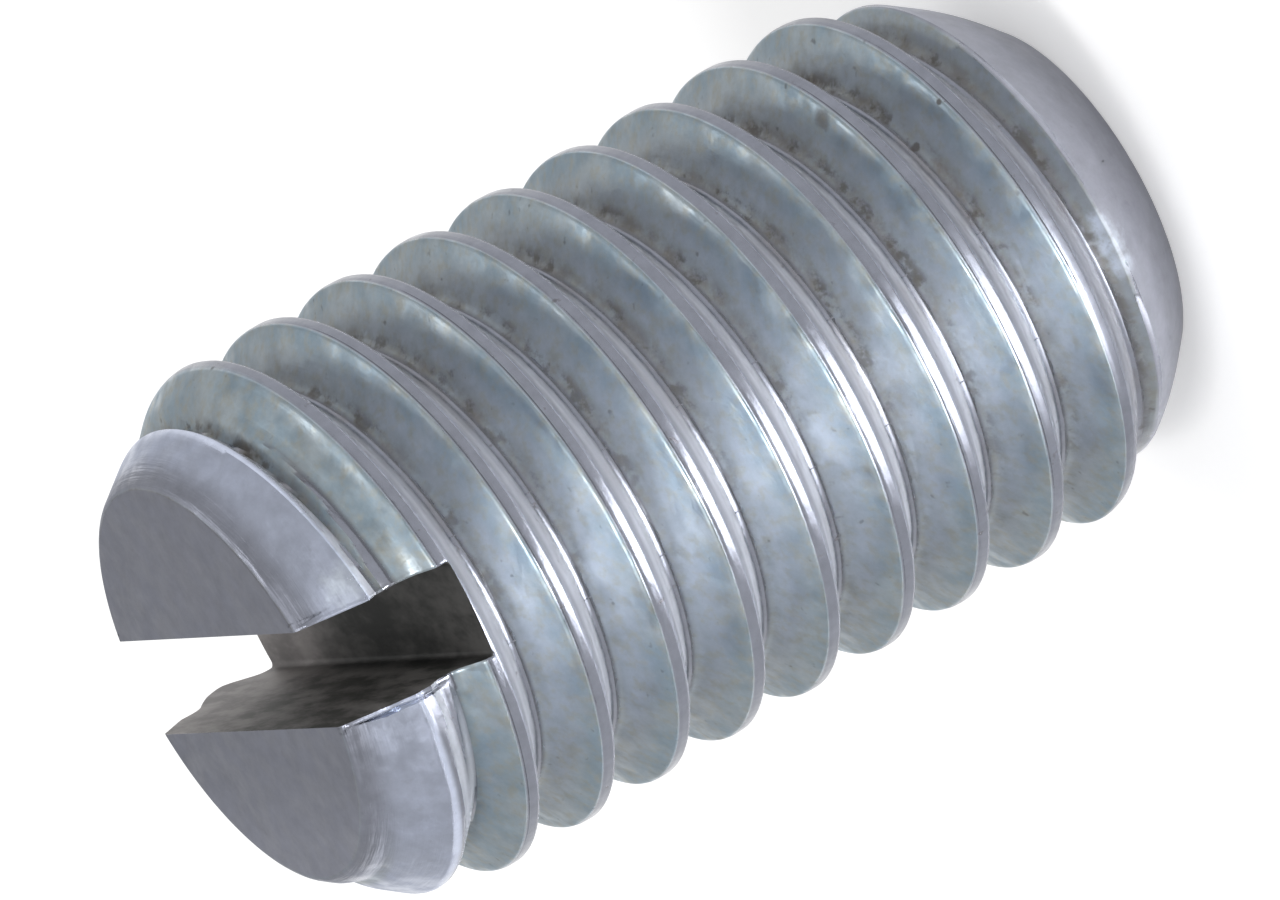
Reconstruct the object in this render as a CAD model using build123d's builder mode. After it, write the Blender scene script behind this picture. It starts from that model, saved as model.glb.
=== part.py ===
from build123d import *
from math import cos, radians, sin, tan
import os

# A headless set screw, turned and threaded from one piece of steel: a driver slot
# across one end, a flat point at the other, and a metric coarse thread between.
# It stands on its flat point, with the axis along Z and the slot along Y.

# Thread, in millimetres
nominal_diameter = 8.0
pitch = 1.25
flank_angle = 60.0
crest_allowance = 0.04  # how far the crest lies inside the nominal radius
root_radius = 0.18
groove_height = 0.5  # where a groove's centre line crosses the XZ plane at +X, above the point

# Flat point: a short chamfer, then the taper on which the thread runs out
length = 14.0
point_inset = 0.63  # how far the edge of the flat point lies inside the thread's root
point_chamfer_angle = 45.0  # this and the next angles are measured from the screw's axis
point_taper_inset = 0.43  # the same for the line of the taper, where it would meet the end face
point_taper_angle = 33.0

# Slotted end: one taper, straight from the end face
head_inset = 0.28  # how far the edge of the slotted face lies inside the thread's root
head_taper_angle = 35.0

# Driver slot
slot_width = 1.4
slot_depth = 2.0

# Metric thread geometry
pitch_line_share = 3 / 8  # from the nominal diameter in to the pitch line, as a share of the sharp height
half_flank = radians(flank_angle / 2)
sharp_height = pitch / 2 / tan(half_flank)  # the height of the thread's sharp triangle
major_radius = nominal_diameter / 2 - crest_allowance
pitch_radius = nominal_diameter / 2 - pitch_line_share * sharp_height
sharp_root = pitch_radius - sharp_height / 2  # where the flanks would meet
root_centre = sharp_root + root_radius / sin(half_flank)
groove_root = root_centre - root_radius  # the radius of the thread's root
tangent_radius = root_centre - root_radius * sin(half_flank)
tangent_width = root_radius * cos(half_flank)
crest_width = (major_radius - sharp_root) * tan(half_flank)  # half of the groove, at the crests

# Room for the cutters
clear = 0.5  # how far a cutter runs past the metal
turns_before = 2  # turns that the groove starts below the point
turns_after = 1  # turns that it goes on for above the slotted end
first_turn = groove_height - turns_before * pitch
turns_height = length + (turns_before + turns_after) * pitch


def turn_cone(face_radius, angle, face_height, inward):
    """Turn away what lies outside a cone that starts on one of the end faces."""
    outside = major_radius + clear
    depth = (outside - face_radius) / tan(radians(angle))
    Polygon(
        (face_radius, face_height),
        (outside, face_height),
        (outside, face_height + inward * depth),
        align=None,
        mode=Mode.SUBTRACT,
    )


with BuildPart() as grub_screw:
    # The blank: a round bar with its ends turned down to the point and the slotted face
    with BuildSketch(Plane.XZ):
        Rectangle(major_radius, length, align=Align.MIN)
        turn_cone(groove_root - point_inset, point_chamfer_angle, 0, 1)
        turn_cone(groove_root - point_taper_inset, point_taper_angle, 0, 1)
        turn_cone(groove_root - head_inset, head_taper_angle, length, -1)
    revolve(axis=Axis.Z)

    # The thread: a round-bottomed groove, wound along a right-handed helix
    with BuildLine(mode=Mode.PRIVATE) as thread_path:
        Helix(pitch, turns_height, pitch_radius, center=(0, 0, first_turn))
    with BuildSketch(Plane.XZ):
        with BuildLine():
            root = ThreePointArc(
                (tangent_radius, first_turn - tangent_width),
                (groove_root, first_turn),
                (tangent_radius, first_turn + tangent_width),
            )
            Polyline(
                root @ 1,
                (major_radius, first_turn + crest_width),
                (major_radius + clear, first_turn + crest_width),
                (major_radius + clear, first_turn - crest_width),
                (major_radius, first_turn - crest_width),
                root @ 0,
            )
        make_face()
    sweep(path=thread_path.line, is_frenet=True, mode=Mode.SUBTRACT)

    # The driver slot, sawn straight across the end
    with BuildSketch(Plane.XY.offset(length - slot_depth)):
        Rectangle(slot_width, nominal_diameter + 2 * clear)
    extrude(amount=slot_depth + clear, mode=Mode.SUBTRACT)

grub_screw.part.label = "grub_screw"
os.makedirs("parts", exist_ok=True)
export_step(grub_screw.part, "parts/grub_screw.step")
print("grub screw", grub_screw.part.bounding_box().size, "volume", round(grub_screw.part.volume, 2), "mm3")
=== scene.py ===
# %% [markdown]
# A slotted grub screw, from bare solid to finished look.
# The object is one piece of steel: a threaded rod with a driver slot in one end and a flat
# point at the other. It was rolled, turned, sawn and then zinc plated. The plain solid comes
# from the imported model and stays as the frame. This file makes one detailed mesh that
# takes its place, gives it two finishes, and sets up the floor, the light and the camera.

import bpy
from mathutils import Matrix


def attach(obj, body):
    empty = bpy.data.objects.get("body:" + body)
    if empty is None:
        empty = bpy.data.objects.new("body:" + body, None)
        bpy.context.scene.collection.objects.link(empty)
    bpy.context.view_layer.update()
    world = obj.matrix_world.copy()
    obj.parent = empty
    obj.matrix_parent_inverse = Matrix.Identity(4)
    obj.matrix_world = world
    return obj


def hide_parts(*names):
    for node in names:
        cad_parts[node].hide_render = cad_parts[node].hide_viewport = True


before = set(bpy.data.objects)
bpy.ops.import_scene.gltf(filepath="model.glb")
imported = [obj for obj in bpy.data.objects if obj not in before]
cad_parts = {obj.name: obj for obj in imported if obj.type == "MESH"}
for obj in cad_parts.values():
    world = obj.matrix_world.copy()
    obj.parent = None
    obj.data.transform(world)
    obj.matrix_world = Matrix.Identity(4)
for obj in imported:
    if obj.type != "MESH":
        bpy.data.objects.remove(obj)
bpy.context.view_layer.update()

# %% [markdown]
# The sizes.
# The screw stands on its flat point, with its axis along Z and its slot along Y. All the
# shaping below is written in millimetres, because thread tables are, and the finished mesh
# is scaled to metres at the very end. These are the same sizes as the solid's.

# %% Sizes in millimetres
import math

import bmesh
import bpy
import numpy as np
from mathutils import Matrix, Vector

MM = 0.001
nominal_radius = 4.0
crest_radius = 3.96
pitch = 1.25
half_flank = math.radians(30)
root_radius = 0.18
groove_height = 0.5
length = 14.0
slot_width = 1.4
slot_depth = 2.0

# The cones at the ends: how far each starts inside the thread's root, and its angle from the axis
point_inset = 0.63
point_chamfer_angle = math.radians(45)
point_taper_inset = 0.43
point_taper_angle = math.radians(33)
head_inset = 0.28
head_taper_angle = math.radians(35)

sharp_height = pitch / 2 / math.tan(half_flank)
sharp_root = nominal_radius - 3 / 8 * sharp_height - sharp_height / 2
root_centre = sharp_root + root_radius / math.sin(half_flank)
groove_root = root_centre - root_radius
point_radius = groove_root - point_inset
point_taper_radius = groove_root - point_taper_inset
head_radius = groove_root - head_inset
print("root", round(groove_root, 3), "point", round(point_radius, 3), "head", round(head_radius, 3))

# %% [markdown]
# The thread's section.
# A rolled thread has a round-bottomed groove and straight 30 degree flanks. At the crest the
# metal is pressed up from both sides and doesn't quite meet. It leaves a fine seam, a little
# to one side of the middle, with a broad bright line below it and a thin one above. One
# formula for the radius, over angle and height, is enough: where two surfaces meet, a smooth
# minimum rounds the corner as rolling and plating do.

# %% Two curves that the shapes are blended with
def softened_min(a, b, width):
    """The smaller of two radii, with the corner between them rounded over this width."""
    overlap = np.clip(width - np.abs(a - b), 0, None) / width
    return np.minimum(a, b) - overlap * overlap * width / 4


def smooth_rise(value, low, high):
    """0 below low, 1 above high, and a smooth rise between."""
    share = np.clip((value - low) / (high - low), 0, 1)
    return share * share * (3 - 2 * share)


print("a corner rounded over 0.2 mm drops to", softened_min(1.0, 1.0, 0.2).round(3))

# %% Radius of the thread at any angle and height
seam_depth = 0.011
seam_half_width = 0.045
seam_place = 0.075
crest_wear = 0.001
crest_corner = 0.07

# The groove is shallower in the first turn beside the slotted end and in the last one at the point
head_fill = 0.35
head_fill_rise = (12.30, 12.60)
head_fill_fall = (12.82, 13.0)
point_fill = 0.25
point_fill_fall = (0.9, 1.9)


def thread_radius(angle, height):
    """The rolled thread: groove, flanks, and the crest with its seam."""
    place = (height - groove_height - pitch * angle / (2 * np.pi)) / pitch
    turn_share = place - np.round(place)
    from_groove = np.abs(turn_share) * pitch
    in_root = from_groove < root_radius * math.cos(half_flank)
    arc = np.sqrt(np.clip(root_radius**2 - from_groove**2, 0, None))
    groove = np.where(in_root, root_centre - arc, sharp_root + from_groove / math.tan(half_flank))
    shallow = head_fill * smooth_rise(height, *head_fill_rise)
    shallow = shallow * (1 - smooth_rise(height, *head_fill_fall))
    shallow = shallow + point_fill * (1 - smooth_rise(height, *point_fill_fall))
    groove = groove + (crest_radius - groove) * shallow
    above_crest = (turn_share - np.sign(turn_share) / 2) * pitch
    from_seam = np.abs(above_crest - seam_place)
    # The seam is deeper in some places than in others, and the crest is worn a little unevenly
    wound = height / pitch
    worn = 0.7 + 0.2 * np.sin(7.3 * wound + 0.6) + 0.1 * np.sin(17.9 * wound)
    seam = seam_depth * worn * np.where(
        from_seam < seam_half_width, 0.5 + 0.5 * np.cos(np.pi * from_seam / seam_half_width), 0
    )
    uneven = 0.0015 * (1 + np.sin(11.3 * wound)) + 0.001 * (1 + np.sin(29 * wound))
    return softened_min(groove, crest_radius - crest_wear - uneven - seam, crest_corner)


sample_heights = np.linspace(3, 3 + pitch, 400)
one_pitch = thread_radius(np.zeros(400), sample_heights)
print("one pitch: lowest", one_pitch.min().round(3), "highest", one_pitch.max().round(3))

# %% Radius of the whole screw
taper_corner = 0.20
chamfer_corner = 0.12
head_corner = 0.24


def screw_radius(angle, height):
    """The thread, turned down by the cones at both ends."""
    radius = thread_radius(angle, height)
    point_taper = point_taper_radius + height * math.tan(point_taper_angle)
    point_chamfer = point_radius + height  # at 45 degrees it widens as fast as it rises
    head_taper = head_radius + (length - height) * math.tan(head_taper_angle)
    radius = softened_min(radius, point_taper, taper_corner)
    radius = softened_min(radius, point_chamfer, chamfer_corner)
    return softened_min(radius, head_taper, head_corner)


print("radius at both ends:", screw_radius(0.0, np.array([0.0, length])).round(3))

# %% [markdown]
# Lines of the mesh.
# The mesh is a grid wound with the thread: rows follow the helix, so crests and roots are
# clean lines with no steps, and columns run up the screw. Rows crowd together where the
# section bends sharply. Near the slot the columns are laid in planes beside its walls, close
# together, so that the sawn edges can be rounded and burred.

# %% Rows across one pitch
half_rows = [0, 0.05, 0.10, 0.15, 0.20, 0.28, 0.36, 0.43]
half_rows += [0.465, 0.49, 0.51, 0.53, 0.55, 0.568, 0.586, 0.605]
rows = np.array([-v for v in half_rows[:0:-1]] + half_rows + [pitch / 2])
rows_per_pitch = len(rows)
turns = int(length / pitch) + 4
row_heights = np.concatenate([rows + pitch * n for n in range(-2, turns - 1)]) + groove_height
print(rows_per_pitch, "rows a pitch,", len(row_heights), "rows in all")

# %% Columns round the screw
plain_columns = 212
nearest_column = math.radians(0.9)
middle_radius = 3.6
wall = slot_width / 2
wall_offsets = [-0.03, 0.004, 0.018, 0.036, 0.058, 0.078, 0.094, 0.125]

# A column is its angle and, beside the slot, its x, its side of the screw and its distance from the wall
columns = []
for side in (-1, 1):
    for lobe in (-1, 1):
        for offset in wall_offsets:
            x = lobe * (wall + offset)
            angle = math.atan2(side * math.sqrt(middle_radius**2 - x * x), x) % (2 * math.pi)
            columns.append((angle, x, side, offset))
slot_angles = np.array([column[0] for column in columns])
for n in range(plain_columns):
    angle = 2 * math.pi * (n + 0.5) / plain_columns
    if np.abs(slot_angles - angle).min() > nearest_column:
        columns.append((angle, None, 0, 1.0))
columns.sort()
print(len(columns), "columns")

# %% [markdown]
# Edges left by the saw.
# A slitting saw leaves sharp edges, and plating and handling round them slightly. On the side
# where the saw leaves the metal it drags out a burr. The rounding lowers the surface beside
# the wall, and the burr raises a narrow lip of it.

# %% Rounding and burr beside the slot
edge_round = 0.035
slot_run_out = 0.05
burr_offsets = [0.0, 0.036, 0.058, 0.078, 0.094, 0.125]
burr_lifts = [0.010, 0.022, 0.010, -0.040, -0.045, 0.0]
burr_low, burr_low_fade = 12.55, 0.25
burr_high, burr_high_fade = 13.98, 0.2
small_burr_lift, small_burr_reach = 0.010, 0.04
small_burr_low, small_burr_fade = 12.4, 0.3


def beside_slot(offset, x, side, height):
    """How far the surface is raised or lowered at this distance from a slot wall."""
    gap = np.clip(offset, 0, edge_round)
    in_slot = np.clip((height - (length - slot_depth)) / slot_run_out, 0, 1)
    drop = (edge_round - np.sqrt(edge_round**2 - (edge_round - gap) ** 2)) * in_slot
    lift = np.zeros_like(height)
    if side < 0 and x < 0:
        along = np.clip((height - burr_low) / burr_low_fade, 0, 1)
        along = along * np.clip((burr_high - height) / burr_high_fade, 0, 1)
        ragged = 0.8 + 0.2 * np.sin(9 * height) + 0.15 * np.sin(23 * height + 1)
        lip = np.interp(offset, burr_offsets, burr_lifts)
        lift = (lip + (drop if offset < edge_round * 2 else 0)) * along * ragged
    if side < 0 and x > 0:
        along = np.clip((height - small_burr_low) / small_burr_fade, 0, 1)
        lift = (small_burr_lift if offset < small_burr_reach else 0.0) * along
    return lift - drop


burr_sample = beside_slot(0.036, -wall, -1, np.linspace(burr_low, burr_high, 50))
print("burr stands up to", burr_sample.max().round(3), "mm proud")

# %% [markdown]
# The wound grid.
# Every column is filled from the bottom ring to the top ring. Rows that would pass an end
# stop on its ring, so both rings are true circles and the helix runs out into them, just as
# the cutter leaves it. Beside the slot a column has to stay in its plane, so its angles are
# found in four rounds, each from the radii of the last.

# %% Points of the wound grid
face_fillet = 0.19
ring_low = 0.03
ring_high = length - face_fillet * (1 - math.sin(head_taper_angle))
ring_margin = 0.012
points = []
grid = np.zeros((len(columns), len(row_heights)), int)
for c, (angle, x, side, offset) in enumerate(columns):
    heights = row_heights + pitch * angle / (2 * math.pi)
    inside = np.nonzero((heights > ring_low + ring_margin) & (heights < ring_high - ring_margin))[0]
    first, last = inside[0] - 1, inside[-1] + 1
    heights = heights[first : last + 1]
    angles = np.full(len(heights), angle)
    for step in range(4):
        z = np.clip(heights + pitch * (angles - angle) / (2 * math.pi), ring_low, ring_high)
        z[0], z[-1] = ring_low, ring_high
        radius = screw_radius(angles, z)
        if x is not None:
            radius = radius + beside_slot(offset, x, side, z)
            angles = np.arctan2(side * np.sqrt(radius**2 - x * x), x) % (2 * math.pi)
    start = len(points)
    points.extend(zip(radius * np.cos(angles), radius * np.sin(angles), z))
    count = len(heights)
    grid[c] = start + np.clip(np.arange(len(row_heights)) - first, 0, count - 1)
print(len(points), "points in the grid")

# %% Faces of the wound grid
faces = []


def add_face(*corners):
    """Keep a face unless its corners have run together."""
    kept = [v for n, v in enumerate(corners) if v != corners[n - 1]]
    if len(set(kept)) > 2:
        faces.append(kept)


for c in range(len(columns)):
    wraps = c == len(columns) - 1
    shift = rows_per_pitch if wraps else 0
    here, beside = grid[c], grid[(c + 1) % len(columns)]
    for k in range(len(row_heights) - 1):
        k2, k3 = min(k + shift, len(row_heights) - 1), min(k + shift + 1, len(row_heights) - 1)
        add_face(here[k], beside[k2], beside[k3], here[k + 1])
    if wraps:
        for k in range(rows_per_pitch):
            add_face(here[0], beside[k], beside[k + 1])
print(len(faces), "faces in the grid")

# %% [markdown]
# The two ends.
# Both ends were faced off on a lathe. At the slotted end the face runs into the taper in a
# small curve, made by a few rings of faces that turn from one slope to the other. At the
# point a single short ring breaks the edge. One flat face closes each end. The flat point
# can't be seen in the picture, so it is left plain.

# %% A helper that closes an end
def close_end(ring, outward, steps):
    """Carry an end's ring over these (radius, height, share of the slot's rounding), then close it."""
    rings = [ring]
    for radius, height, share in steps:
        made = []
        for (angle, x, side, offset), v in zip(columns, ring):
            if x is None:
                points.append((radius * math.cos(angle), radius * math.sin(angle), height))
            else:
                r = radius + share * float(beside_slot(offset, x, side, np.array(height)))
                points.append((x, side * math.sqrt(r * r - x * x), height))
            made.append(len(points) - 1)
        rings.append(made)
    for a, b in zip(rings, rings[1:]):
        for n in range(len(ring)):
            m = (n + 1) % len(ring)
            corners = (a[n], a[m], b[m], b[n])
            faces.append(list(corners if outward > 0 else corners[::-1]))
    faces.append(rings[-1] if outward > 0 else rings[-1][::-1])


# %% Close both ends
fillet_steps = 5
edge_rounding_kept = 0.5
turn_left = math.pi / 2 - head_taper_angle
centre_radius = head_radius - face_fillet * math.tan(turn_left / 2)
face_steps = []
for step in range(1, fillet_steps + 1):
    facing = head_taper_angle + turn_left * step / fillet_steps
    height = length - face_fillet * (1 - math.sin(facing))
    ring_radius = centre_radius + face_fillet * math.cos(facing)
    face_steps.append((ring_radius, height, edge_rounding_kept * math.cos(facing)))
# At the point one short ring breaks the edge, and the next one lies in the flat face itself
point_steps = [(point_radius + 0.002, 0.008, 0), (point_radius - 0.024, 0.0, 0)]
close_end(list(grid[:, -1]), 1, face_steps)
close_end(list(grid[:, 0]), -1, point_steps)

blank = bpy.data.meshes.new("grub_screw_look")
blank.from_pydata(points, [], faces)
blank.validate()
print("blank:", len(blank.vertices), "points,", len(blank.polygons), "faces")

# %% [markdown]
# Sawing the slot.
# The slot is cut the way the saw cuts it: a flat blade with slightly worn corners passes
# right through the end, and a boolean takes its shape away from the blank. The blade goes
# past the metal on all the open sides, so the cut is clean.

# %% Shape the blade
blade_length = 10
blade_height = slot_depth + 1
floor_height = length - slot_depth
corner_round = 0.08
slack = 0.01

blade_mesh = bpy.data.meshes.new("saw_blade")
blade_shape = bmesh.new()
bmesh.ops.create_cube(blade_shape, size=1)
bmesh.ops.scale(blade_shape, vec=(slot_width, blade_length, blade_height), verts=blade_shape.verts)
bmesh.ops.translate(blade_shape, vec=(0, 0, floor_height + blade_height / 2), verts=blade_shape.verts)
# The blade wears along the two lower edges that run the way of the cut
worn_edges = []
for edge in blade_shape.edges:
    low = all(v.co.z < floor_height + slack for v in edge.verts)
    with_cut = abs(edge.verts[0].co.y - edge.verts[1].co.y) > slack
    if low and with_cut:
        worn_edges.append(edge)
wear = {"offset": corner_round, "segments": 6, "profile": 0.5, "affect": "EDGES"}
bmesh.ops.bevel(blade_shape, geom=worn_edges, **wear)
blade_shape.to_mesh(blade_mesh)
blade_shape.free()
print("blade:", len(blade_mesh.polygons), "faces,", len(worn_edges), "worn edges")

# %% Cut the slot
screw = bpy.data.objects.new("grub_screw_look", blank)
bpy.context.collection.objects.link(screw)
blade = bpy.data.objects.new("saw_blade", blade_mesh)
bpy.context.collection.objects.link(blade)

cut = screw.modifiers.new("slot", "BOOLEAN")
cut.operation = "DIFFERENCE"
cut.solver = "MANIFOLD"
cut.object = blade
bpy.context.view_layer.update()
sawn = bpy.data.meshes.new_from_object(screw.evaluated_get(bpy.context.evaluated_depsgraph_get()))
screw.modifiers.clear()
screw.data = sawn
sawn.name = "grub_screw_look"
bpy.data.objects.remove(blade)
print("sawn:", len(sawn.vertices), "points,", len(sawn.polygons), "faces")

# %% Break the slot's straight edges on the end face, then scale to metres
same_place = 0.0005
close = 0.002
broken_edge = 0.02
sharp_bend = math.radians(32)

shape = bmesh.new()
shape.from_mesh(sawn)
bmesh.ops.remove_doubles(shape, verts=shape.verts, dist=same_place)
face_edges = []
for edge in shape.edges:
    on_face = all(v.co.z > length - close for v in edge.verts)
    on_wall_line = all(abs(abs(v.co.x) - wall) < close for v in edge.verts)
    if on_face and on_wall_line:
        face_edges.append(edge)
bmesh.ops.bevel(shape, geom=face_edges, offset=broken_edge, segments=2, profile=0.5, affect="EDGES")
bmesh.ops.scale(shape, vec=(MM, MM, MM), verts=shape.verts)
bmesh.ops.recalc_face_normals(shape, faces=shape.faces)
shape.to_mesh(sawn)
shape.free()
sawn.set_sharp_from_angle(angle=sharp_bend)
sawn.polygons.foreach_set("use_smooth", [True] * len(sawn.polygons))
triangles = sum(len(p.vertices) - 2 for p in sawn.polygons)
print("finished mesh:", len(sawn.vertices), "points,", triangles, "triangles")

# %% [markdown]
# Building finishes from nodes.
# A finish is a small network of nodes. A few helpers keep the recipes readable: one adds a
# node and plugs in its inputs, and the others make the steps that come up again and again,
# such as a sum, a smooth rise between two values, a blend of two colours or cloudy noise.

# %% Helpers for finishes
def add_node(tree, kind, inputs=None, **settings):
    """Add a node, set its options, and give each named input a value or a link."""
    made = tree.nodes.new(kind)
    for name, value in settings.items():
        setattr(made, name, value)
    for name, value in (inputs or {}).items():
        if isinstance(value, bpy.types.NodeSocket):
            tree.links.new(value, made.inputs[name])
        else:
            made.inputs[name].default_value = value
    return made


def calc(tree, operation, a, b=0.0, c=0.0, clamp=False):
    """One arithmetic step on numbers or sockets."""
    numbers = {0: a, 1: b, 2: c}
    return add_node(tree, "ShaderNodeMath", numbers, operation=operation, use_clamp=clamp).outputs[0]


def ramp_between(tree, value, low, high, smooth=True):
    """0 below low, 1 above high, and an even or a smooth rise between."""
    kind = "SMOOTHSTEP" if smooth else "LINEAR"
    limits = {"Value": value, "From Min": low, "From Max": high}
    return add_node(tree, "ShaderNodeMapRange", limits, interpolation_type=kind).outputs["Result"]


def fall_between(tree, value, low, high):
    """1 below low, 0 above high, and a smooth fall between."""
    return calc(tree, "SUBTRACT", 1.0, ramp_between(tree, value, low, high))


def blend_colour(tree, factor, a, b):
    """Colour a where the factor is 0, colour b where it is 1."""
    return add_node(tree, "ShaderNodeMix", {0: factor, 6: a, 7: b}, data_type="RGBA").outputs[2]


def speckle(tree, place, scale, detail, roughness):
    """Cloudy noise, 0 to 1, at this many patches a millimetre."""
    noise = {"Vector": place, "Scale": scale, "Detail": detail, "Roughness": roughness}
    return add_node(tree, "ShaderNodeTexNoise", noise).outputs["Fac"]


def new_finish(name):
    """An empty material: its shader, the point's place in millimetres, and its normal."""
    finish = bpy.data.materials.new(name)
    finish.use_nodes = True
    tree = finish.node_tree
    tree.nodes.clear()
    shader = add_node(tree, "ShaderNodeBsdfPrincipled")
    add_node(tree, "ShaderNodeOutputMaterial", {"Surface": shader.outputs[0]})
    where = add_node(tree, "ShaderNodeTexCoord").outputs
    scale_up = {0: where["Object"], 1: (1000, 1000, 1000)}
    place = add_node(tree, "ShaderNodeVectorMath", scale_up, operation="MULTIPLY").outputs[0]
    return finish, tree, shader, place, where["Normal"]


print("helpers ready")

# %% [markdown]
# Zinc plate over rolled steel.
# Clear-passivated zinc is a soft grey metal with a cold, slightly blue-green cast, mottled
# where the plating bath left it uneven. On top of that the plating carries painted light and
# shade, set by which way its surface faces: the flanks that face the slotted end are given the
# blue-green, while the crests, the roots and the undersides are given darker, pinker tones,
# and are smoother. Low in the grooves the flanks are painted paler, as painted light. The
# turned ends are paler. All of it follows from where a point lies and which way its surface
# faces, so no picture is needed. First come the shares that say where a point lies: on a
# cone, on the end face, or in the thread.

# %% Where a point of the plating lies
plate, tree, shader, place, normal = new_finish("zinc_plate")
flatten = {0: place, 1: (1, 1, 0)}
flat_place = add_node(tree, "ShaderNodeVectorMath", flatten, operation="MULTIPLY").outputs[0]
reach = add_node(tree, "ShaderNodeVectorMath", {0: flat_place}, operation="LENGTH").outputs["Value"]
across, _, height = add_node(tree, "ShaderNodeSeparateXYZ", {0: place}).outputs
facing_up = add_node(tree, "ShaderNodeSeparateXYZ", {0: normal}).outputs[2]


def on_cone(face_radius, angle, from_end):
    """1 on the cone that starts with this radius on an end face, 0 in the thread below it."""
    cone = calc(tree, "MULTIPLY_ADD", from_end, math.tan(angle), face_radius)
    return fall_between(tree, calc(tree, "SUBTRACT", cone, reach), 0.02, 0.09)


from_head = calc(tree, "SUBTRACT", length, height)
on_head_taper = on_cone(head_radius, head_taper_angle, from_head)
on_long_taper = on_cone(point_taper_radius, point_taper_angle, height)
on_chamfer = on_cone(point_radius, point_chamfer_angle, height)
on_point_taper = calc(tree, "MAXIMUM", on_long_taper, on_chamfer)
on_end_face = ramp_between(tree, height, length - 0.012, length - 0.004)
turned_part = calc(tree, "MAXIMUM", calc(tree, "MAXIMUM", on_head_taper, on_point_taper), on_end_face)
faces_down = ramp_between(tree, calc(tree, "MULTIPLY", facing_up, -1.0), 0.10, 0.55)
print("places found:", len(tree.nodes), "nodes")

# %% The thread's colours
# cool, pale and olive are the plating's own mottled tones. mauve and under are painted shade for the
# crests, roots and undersides, and the two deep colours are painted light low in the grooves.
cool = (0.340, 0.428, 0.496, 1)
pale = (0.448, 0.508, 0.545, 1)
deep_cool_lit = (0.460, 0.512, 0.558, 1)
olive = (0.425, 0.426, 0.372, 1)
mauve = (0.205, 0.216, 0.255, 1)
under = (0.240, 0.252, 0.298, 1)
deep_under_lit = (0.480, 0.500, 0.558, 1)

mottle = speckle(tree, place, 1.5, 4.0, 0.6)
fine = speckle(tree, place, 5.5, 3.0, 0.6)
upper_flank = blend_colour(tree, ramp_between(tree, mottle, 0.36, 0.68), cool, pale)
# Painted light: low in the grooves, away from the head, the flanks are coloured paler.
low_down = fall_between(tree, reach, 3.45, 3.85)
clear_of_head = ramp_between(tree, from_head, 1.9, 2.8)
deep = calc(tree, "MULTIPLY", low_down, clear_of_head)
upper_flank = blend_colour(tree, deep, upper_flank, deep_cool_lit)
olive_share = calc(tree, "MULTIPLY", ramp_between(tree, fine, 0.44, 0.72), 0.6)
upper_flank = blend_colour(tree, olive_share, upper_flank, olive)
# Painted light and shade: the plating's colour is chosen by which way the surface faces.
metal = blend_colour(tree, ramp_between(tree, facing_up, 0.20, 0.60), mauve, upper_flank)
# Painted light and shade on the undersides: darker where the flank faces down, paler low in the groove.
lower_flank = blend_colour(tree, low_down, under, deep_under_lit)
metal = blend_colour(tree, faces_down, metal, lower_flank)
print("thread coloured:", len(tree.nodes), "nodes")

# %% The turned ends' colours, and clouds over everything
turned = (0.508, 0.550, 0.670, 1)
taper_near_face = (0.310, 0.325, 0.385, 1)
underside = (0.380, 0.392, 0.455, 1)
under_chamfer = (0.330, 0.340, 0.395, 1)
faced = (0.262, 0.273, 0.325, 1)
faced_lighter_reflection = (0.325, 0.338, 0.400, 1)

# The head's taper is coloured darker towards the end face.
near_edge = fall_between(tree, reach, 3.02, 3.30)
head_colour = blend_colour(tree, near_edge, turned, taper_near_face)
metal = blend_colour(tree, on_head_taper, metal, head_colour)
point_colour = blend_colour(tree, on_chamfer, underside, under_chamfer)
metal = blend_colour(tree, on_point_taper, metal, point_colour)
# Painted reflection: the end face is coloured lighter towards its -x side, where it mirrors brighter
# surroundings.
lighter_reflection_side = ramp_between(tree, calc(tree, "MULTIPLY", across, -1.0), 1.2, 2.8)
face_colour = blend_colour(tree, lighter_reflection_side, faced, faced_lighter_reflection)
metal = blend_colour(tree, on_end_face, metal, face_colour)
cloudy = calc(tree, "MULTIPLY_ADD", speckle(tree, place, 3.2, 4.0, 0.7), 0.5, 0.75)
shaded = {0: 1.0, 6: metal, 7: cloudy}
metal = add_node(tree, "ShaderNodeMix", shaded, data_type="RGBA", blend_type="MULTIPLY").outputs[2]
print("ends coloured:", len(tree.nodes), "nodes")

# %% [markdown]
# Dirt, stains, painted shade and painted highlights.
# Brown dirt has dried in the roots, in a narrow band where the upper flank begins. The very
# bottom of the roots is painted darker still, in patches, as painted shade. Both are heavier
# on one side of the screw, in the first turn and in the last turn before the point. There
# are a few dark specks and some separate stains besides, and a few small places are painted
# nearly white, as painted highlights. Noise breaks the band up, and a weight over the whole
# screw says where there is more of it.

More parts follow.
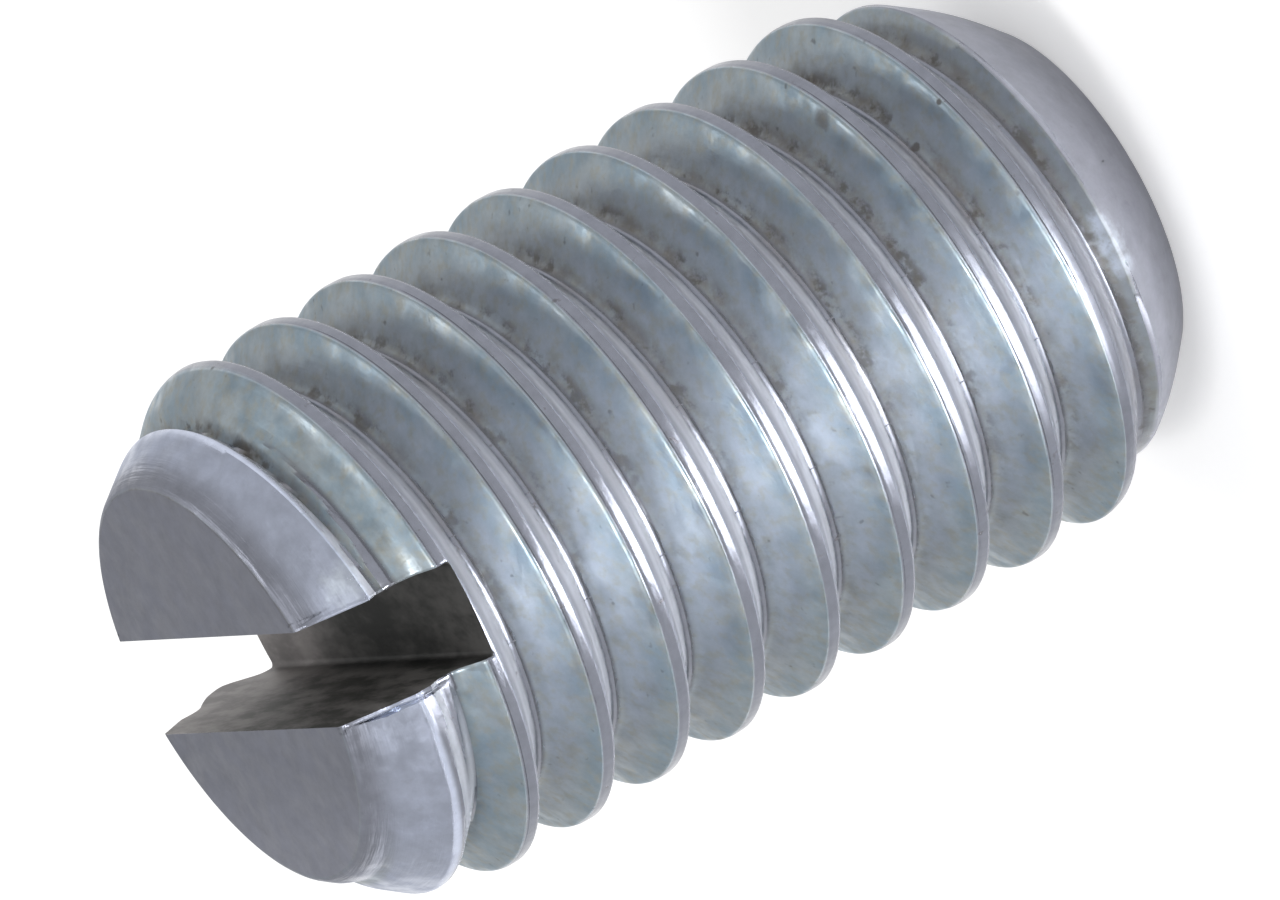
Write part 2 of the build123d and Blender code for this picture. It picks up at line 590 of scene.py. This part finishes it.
# %% Dirt in the roots
leaves_root = fall_between(tree, reach, 3.25, 3.56)
in_band = calc(tree, "MULTIPLY", leaves_root, ramp_between(tree, facing_up, 0.0, 0.6))
side_weight = ramp_between(tree, across, -2.0, 2.6)
point_weight = ramp_between(tree, from_head, 5.0, 13.0, False)
first_turn = fall_between(tree, from_head, 1.5, 2.3)
last_turn = ramp_between(tree, from_head, 11.6, 12.6)
weight = calc(tree, "MULTIPLY_ADD", point_weight, 0.45, 0.08)
weight = calc(tree, "MULTIPLY_ADD", side_weight, 0.75, weight)
weight = calc(tree, "MULTIPLY_ADD", first_turn, 0.4, weight, clamp=True)
weight = calc(tree, "MULTIPLY_ADD", last_turn, 0.45, weight, clamp=True)
patches = ramp_between(tree, speckle(tree, place, 1.3, 5.0, 0.7), 0.28, 0.66)
patches = calc(tree, "MAXIMUM", patches, calc(tree, "MULTIPLY", last_turn, 0.65))
band = calc(tree, "MULTIPLY", in_band, patches)
spread = ramp_between(tree, speckle(tree, place, 0.8, 3.0, 0.6), 0.50, 0.64)
spread = calc(tree, "MULTIPLY", spread, 0.35)
wide = calc(tree, "MULTIPLY", fall_between(tree, reach, 3.40, 3.85), spread)
dirt = calc(tree, "MULTIPLY", calc(tree, "MAXIMUM", band, wide), weight)
dirt = calc(tree, "MULTIPLY", dirt, calc(tree, "MULTIPLY_ADD", turned_part, -0.92, 1.0))
print("dirt placed:", len(tree.nodes), "nodes")


# %% Separate stains, the dirt's colours, and the painted shade at the roots' bottom
def stain(x, y, z, size, soft):
    """A soft-edged stain at this place on the screw, in millimetres, broken up by noise."""
    ends = {0: place, 1: (x, y, z)}
    far = add_node(tree, "ShaderNodeVectorMath", ends, operation="DISTANCE").outputs["Value"]
    ragged = calc(tree, "MULTIPLY_ADD", fine, size * 1.6, calc(tree, "SUBTRACT", far, size * 0.8))
    edge = size * 1.15
    return fall_between(tree, ragged, edge - size * soft, edge)


def stain_group(places, soft=0.6):
    """The strongest of several stains, each given by its x, y, z and size."""
    group = stain(*places[0], soft)
    for one in places[1:]:
        group = calc(tree, "MAXIMUM", group, stain(*one, soft))
    return group


khaki = (0.172, 0.143, 0.115, 1)
root_shade_brown = (0.085, 0.068, 0.055, 1)
stained_at = [(2.9, -1.62, 13.0, 0.22), (2.5, -2.3, 12.72, 0.15), (3.05, -2.26, 3.69, 0.17)]

stains = stain_group(stained_at, 0.9)
dirt = calc(tree, "MAXIMUM", dirt, calc(tree, "MULTIPLY", stains, 0.8))
dirt_and_painted_light = blend_colour(tree, calc(tree, "MULTIPLY", dirt, 0.75, clamp=True), metal, khaki)
# Painted shade: the very bottom of the roots is coloured dark brown, in patches.
at_root = fall_between(tree, reach, 3.28, 3.46)
root_shade_patches = ramp_between(tree, speckle(tree, place, 2.3, 4.0, 0.65), 0.50, 0.62)
root_shade = calc(tree, "MULTIPLY", at_root, ramp_between(tree, facing_up, 0.1, 0.5))
root_shade = calc(tree, "MULTIPLY", root_shade, root_shade_patches)
root_shade = calc(tree, "MULTIPLY", root_shade, weight)
root_shade = calc(tree, "MULTIPLY", root_shade, calc(tree, "SUBTRACT", 1.0, turned_part))
dirt_and_painted_light = blend_colour(tree, calc(tree, "MULTIPLY", root_shade, 0.7, clamp=True), dirt_and_painted_light, root_shade_brown)
print("dirt coloured:", len(tree.nodes), "nodes")

# %% Painted highlights, and specks
# Painted highlights: a few small places are coloured nearly white, as glints. The dark specks are the
# screw's own.
glint_colour = (0.760, 0.830, 0.930, 1)
dark_brown = (0.060, 0.048, 0.040, 1)
glints_at = [(0.16, -3.50, 1.25, 0.24), (-0.14, -3.50, 1.23, 0.28)]
glints_at += [(-0.44, -3.46, 1.21, 0.24), (1.02, -3.32, 13.26, 0.32)]
specks_at = [(2.12, -2.48, 2.73, 0.07), (2.59, -2.92, 2.34, 0.05)]

painted_glints = stain_group(glints_at, 1.1)
dirt_and_painted_light = blend_colour(tree, calc(tree, "MULTIPLY", painted_glints, 0.8), dirt_and_painted_light, glint_colour)
dots = ramp_between(tree, speckle(tree, place, 5.2, 2.0, 0.5), 0.68, 0.80)
dot_share = calc(tree, "MULTIPLY", dots, calc(tree, "MULTIPLY_ADD", turned_part, -0.30, 0.45))
spots = stain_group(specks_at)
dot_share = calc(tree, "MAXIMUM", dot_share, calc(tree, "MULTIPLY", spots, 0.8))
colour = blend_colour(tree, dot_share, dirt_and_painted_light, dark_brown)
tree.links.new(colour, shader.inputs["Base Color"])
# The dirt, the painted root shade and the specks make the plating dull.
grime_and_root_shade = calc(tree, "MAXIMUM", calc(tree, "MULTIPLY", calc(tree, "MAXIMUM", dirt, root_shade), 0.6), dot_share)
dull_share = calc(tree, "MAXIMUM", grime_and_root_shade, calc(tree, "MULTIPLY", faces_down, 0.65))
tree.links.new(calc(tree, "SUBTRACT", 1.0, dull_share), shader.inputs["Metallic"])
print("colour finished:", len(tree.nodes), "nodes")

# %% [markdown]
# How the plating catches light.
# The crests and roots are burnished by the rolling dies, so their highlights are narrow. The
# upper flanks are duller and patchy, and softly dented, so a broad highlight breaks up on
# them. The turned ends carry fine rings from the lathe. Rings and the thread's drawing lines
# both follow lines of constant distance from the axis, so one stretched noise makes them all.

# %% The plating's gloss
patchy = ramp_between(tree, speckle(tree, place, 2.2, 4.0, 0.6), 0.35, 0.65)
dull = calc(tree, "MULTIPLY_ADD", patchy, 0.24, 0.28)
burnished = fall_between(tree, facing_up, 0.15, 0.60)
bright = calc(tree, "MULTIPLY_ADD", patchy, 0.09, 0.15)
gloss = add_node(tree, "ShaderNodeMix", {0: burnished, 2: dull, 3: bright}, data_type="FLOAT").outputs[0]
gloss = calc(tree, "MULTIPLY_ADD", faces_down, 0.25, gloss)
rough = calc(tree, "MULTIPLY_ADD", grime_and_root_shade, 0.25, gloss, clamp=True)
tree.links.new(rough, shader.inputs["Roughness"])
print("gloss set:", len(tree.nodes), "nodes")

# %% The plating's grain
slow = {0: place, 1: (0.35, 0.35, 0.35)}
slow_place = add_node(tree, "ShaderNodeVectorMath", slow, operation="MULTIPLY").outputs[0]
rings_at = add_node(tree, "ShaderNodeCombineXYZ", {2: calc(tree, "MULTIPLY", reach, 9.0)}).outputs[0]
ring_sum = {0: slow_place, 1: rings_at}
ring_place = add_node(tree, "ShaderNodeVectorMath", ring_sum, operation="ADD").outputs[0]
rings = speckle(tree, ring_place, 1.6, 3.0, 0.6)
pebble = speckle(tree, place, 4.2, 3.0, 0.55)
soft_dents = speckle(tree, place, 1.6, 0.0, 0.5)
dents = calc(tree, "MULTIPLY", soft_dents, calc(tree, "SUBTRACT", 1.0, burnished))
scored = calc(tree, "MULTIPLY", near_edge, on_head_taper)
ring_depth = calc(tree, "MULTIPLY_ADD", on_head_taper, 0.6, 0.3)
ring_depth = calc(tree, "MULTIPLY_ADD", scored, 4.0, ring_depth)
smooth_part = calc(tree, "MAXIMUM", faces_down, on_point_taper)
ring_depth = calc(tree, "MULTIPLY", ring_depth, calc(tree, "SUBTRACT", 1.0, smooth_part))
relief = calc(tree, "MULTIPLY_ADD", dents, 4.0, pebble)
relief = calc(tree, "MULTIPLY_ADD", rings, ring_depth, relief)
relief = calc(tree, "MULTIPLY", relief, calc(tree, "MULTIPLY_ADD", smooth_part, -0.7, 1.0))
bump = add_node(tree, "ShaderNodeBump", {"Height": relief, "Strength": 0.35, "Distance": 0.00002})
tree.links.new(bump.outputs[0], shader.inputs["Normal"])
print("zinc plate:", len(tree.nodes), "nodes")

# %% [markdown]
# Inside the slot.
# The slot was sawn after the bar was turned, and oil and dirt have dried in it, so the
# plating hardly shows and it is blotched. Its colours are painted shade as well: nearly black
# on the floor, lighter up the walls, and paler towards its far end, where it opens. The noise
# is stretched along the cut, as the saw's lines are.

# %% The slot's finish
# Painted shade: the floor is nearly black, the walls lighter and the far end paler. The blotches between
# each dark and light colour are oil and dirt.
floor_dark, floor_light = (0.019, 0.020, 0.019, 1), (0.085, 0.083, 0.080, 1)
wall_dark, wall_light = (0.065, 0.065, 0.060, 1), (0.285, 0.272, 0.265, 1)
far_dark, far_light = (0.190, 0.178, 0.176, 1), (0.350, 0.328, 0.322, 1)

slot_finish, tree, shader, place, _ = new_finish("sawn_slot")
along_saw = {0: place, 1: (1, 0.45, 1.6)}
stretched = add_node(tree, "ShaderNodeVectorMath", along_saw, operation="MULTIPLY").outputs[0]
blotch = ramp_between(tree, speckle(tree, stretched, 1.6, 4.0, 0.65), 0.36, 0.66)
_, along_slot, height = add_node(tree, "ShaderNodeSeparateXYZ", {0: place}).outputs
on_wall = ramp_between(tree, height, floor_height + 0.05, floor_height + 0.5)
slot_floor_shaded = blend_colour(tree, blotch, floor_dark, floor_light)
wall_colour = blend_colour(tree, blotch, wall_dark, wall_light)
far_end_lit = blend_colour(tree, blotch, far_dark, far_light)
slot_oil_and_shade = blend_colour(tree, on_wall, slot_floor_shaded, wall_colour)
slot_oil_and_shade = blend_colour(tree, ramp_between(tree, along_slot, 0.3, 2.4), slot_oil_and_shade, far_end_lit)
tree.links.new(slot_oil_and_shade, shader.inputs["Base Color"])
shader.inputs["Metallic"].default_value = 0.45
shader.inputs["Roughness"].default_value = 0.55
saw_lines = speckle(tree, stretched, 6.0, 2.0, 0.6)
bump = add_node(tree, "ShaderNodeBump", {"Height": saw_lines, "Strength": 0.3, "Distance": 0.00002})
tree.links.new(bump.outputs[0], shader.inputs["Normal"])
print("slot finish:", len(tree.nodes), "nodes")

# %% Give each face its finish
mostly_sideways = 0.95
line_slack = 0.0005
floor_slack = 0.001

sawn.materials.clear()
sawn.materials.append(plate)
sawn.materials.append(slot_finish)
sawn_faces = 0
for face in sawn.polygons:
    x, y, z = face.center / MM
    sideways = abs(face.normal.x) > mostly_sideways
    wall_face = sideways and abs(abs(x) - wall) < slack and z > floor_height
    by_floor = floor_height - floor_slack < z < floor_height + corner_round + slack
    floor_face = by_floor and abs(x) < wall - line_slack
    face.material_index = 1 if wall_face or floor_face else 0
    sawn_faces += face.material_index
print("faces with the slot's finish:", sawn_faces)

# %% Put the finished screw in the solid's place
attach(screw, "root")
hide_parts("grub_screw")
print(screw.name, "stands for the solid")

# %% [markdown]
# Floor and sky.
# The picture shows the screw on plain white. A broad pale floor gives its soft shadow, and an
# even sky lights it from all round, at a plain level, so that a colour renders about as it
# is written. The floor gets a little light of its own, seen only by the camera, in
# reflections and through glass. It brings the paper up to white and lights nothing else. It
# lies a hundredth of a millimetre below the screw, so that the two faces don't coincide.

# %% The floor
half_floor = 1.5
below = -0.01 * MM
paper_colour = (0.85, 0.85, 0.85, 1)
paper_glow = 0.38

floor_mesh = bpy.data.meshes.new("floor")
signs = [(-1, -1), (1, -1), (1, 1), (-1, 1)]
floor_corners = [(half_floor * x, half_floor * y, below) for x, y in signs]
floor_mesh.from_pydata(floor_corners, [], [(0, 1, 2, 3)])
floor = bpy.data.objects.new("floor", floor_mesh)
bpy.context.collection.objects.link(floor)
paper = bpy.data.materials.new("white_paper")
paper.use_nodes = True
tree = paper.node_tree
tree.nodes.clear()
light_path = add_node(tree, "ShaderNodeLightPath").outputs
seen = calc(tree, "MAXIMUM", light_path["Is Camera Ray"], light_path["Is Glossy Ray"])
seen = calc(tree, "MAXIMUM", seen, light_path["Is Transmission Ray"])
matt = add_node(tree, "ShaderNodeBsdfDiffuse", {"Color": paper_colour}).outputs[0]
own_light = calc(tree, "MULTIPLY", seen, paper_glow)
glow = add_node(tree, "ShaderNodeEmission", {"Color": (1, 1, 1, 1), "Strength": own_light}).outputs[0]
both = add_node(tree, "ShaderNodeAddShader", {0: matt, 1: glow}).outputs[0]
add_node(tree, "ShaderNodeOutputMaterial", {"Surface": both})
floor_mesh.materials.append(paper)
print("floor:", 2 * half_floor, "m wide")

# %% The sky
sky_level = 0.56

sky = bpy.data.worlds.new("studio")
bpy.context.scene.world = sky
sky.use_nodes = True
tree = sky.node_tree
tree.nodes.clear()
background = add_node(tree, "ShaderNodeBackground", {"Color": (1, 1, 1, 1), "Strength": sky_level})
add_node(tree, "ShaderNodeOutputWorld", {"Surface": background.outputs[0]})
print("sky level:", sky_level)

# %% [markdown]
# Lamps.
# A polished thread shows what stands round it, so each bright line in the picture tells where
# a light was. The key lamp is tall and narrow and stands low on the camera's side, and draws
# the line along the crests' upper shoulders. The front lamp is high and wakes the broad sheen
# of the flanks. The far lamp is weak and lifts the flanks on the other side. The brightest
# line lies in the very middle of the crests. The surface is upright there, so it can only
# mirror the paper in front of the screw, and a narrow spot lamp makes one long patch of that
# paper brighter.

# %% Lamps
def soft_lamp(name, azimuth, elevation, distance, width, height, power):
    """A rectangular lamp, aimed at the middle of the screw from this direction."""
    lamp = bpy.data.lights.new(name, "AREA")
    lamp.shape = "RECTANGLE"
    lamp.size, lamp.size_y = width, height
    lamp.energy = power
    holder = bpy.data.objects.new(name, lamp)
    bpy.context.collection.objects.link(holder)
    a, e = math.radians(azimuth), math.radians(elevation)
    away = Vector((math.sin(a) * math.cos(e), -math.cos(a) * math.cos(e), math.sin(e)))
    holder.location = Vector((0, 0, length / 2 * MM)) + away * distance
    holder.rotation_euler = away.to_track_quat("Z", "Y").to_euler()
    print(name, power, "W")


soft_lamp("key_lamp", azimuth=-17, elevation=17, distance=0.40, width=0.05, height=0.20, power=0.10)
soft_lamp("front_lamp", azimuth=-29, elevation=66, distance=0.40, width=0.06, height=0.12, power=0.43)
soft_lamp("far_lamp", azimuth=140, elevation=62, distance=0.40, width=0.16, height=0.16, power=0.17)

# %% The spot lamp that brightens one patch of the paper
patch_azimuth = math.radians(-18)
patch_distance = 22 * MM
lamp_distance = 400 * MM
lean = 0.14
narrow = 0.55

spot_data = bpy.data.lights.new("paper_lamp", "SPOT")
spot_data.energy = 78
spot_data.spot_size = math.radians(4.4)
spot_data.spot_blend = 0.7
spot_data.shadow_soft_size = 0.004
paper_lamp = bpy.data.objects.new("paper_lamp", spot_data)
bpy.context.collection.objects.link(paper_lamp)
outward = Vector((math.sin(patch_azimuth), -math.cos(patch_azimuth), 0))
towards_lamp = outward * lean + Vector((0, 0, math.sqrt(1 - lean * lean)))
paper_lamp.location = outward * patch_distance + towards_lamp * lamp_distance
paper_lamp.rotation_euler = towards_lamp.to_track_quat("Z", "Y").to_euler()
paper_lamp.scale = (narrow, 1, 1)

# %% [markdown]
# The camera.
# The picture was taken from far off with a long lens, from a little above the screw's waist.
# The camera is rolled, so that the standing screw leans across the frame with its slotted
# end low on the left, as it does in the picture.

# %% Where the camera looks from
camera_azimuth, camera_elevation, camera_roll = 10.8, 22.67, -119.95
pixels_per_mm = 74.80
image_width = 1280
lens = 800.0
sensor_width = 36
shift_right, shift_up = 10.0 / pixels_per_mm, 8.65 / pixels_per_mm

a, e, roll = (math.radians(v) for v in (camera_azimuth, camera_elevation, camera_roll))
back = Vector((math.sin(a) * math.cos(e), -math.cos(a) * math.cos(e), math.sin(e)))
level_right = Vector((math.cos(a), math.sin(a), 0))
level_up = back.cross(level_right)
right = math.cos(roll) * level_right + math.sin(roll) * level_up
up = -math.sin(roll) * level_right + math.cos(roll) * level_up
camera_distance = lens / sensor_width * image_width / pixels_per_mm
aim = Vector((0, 0, length / 2)) - right * shift_right - up * shift_up
print("camera", round(camera_distance), "mm away")

# %% The camera
camera_data = bpy.data.cameras.new("camera")
camera_data.sensor_width = sensor_width
camera_data.lens = lens
camera_data.clip_start, camera_data.clip_end = 0.01, 10
camera = bpy.data.objects.new("camera", camera_data)
bpy.context.collection.objects.link(camera)
camera_place = (aim + back * camera_distance) * MM
camera_turn = Matrix((right, up, back)).transposed().to_4x4()
camera.matrix_world = Matrix.Translation(camera_place) @ camera_turn
bpy.context.scene.camera = camera
bpy.context.scene.view_settings.view_transform = "Standard"
print("camera ready, lens", lens, "mm")
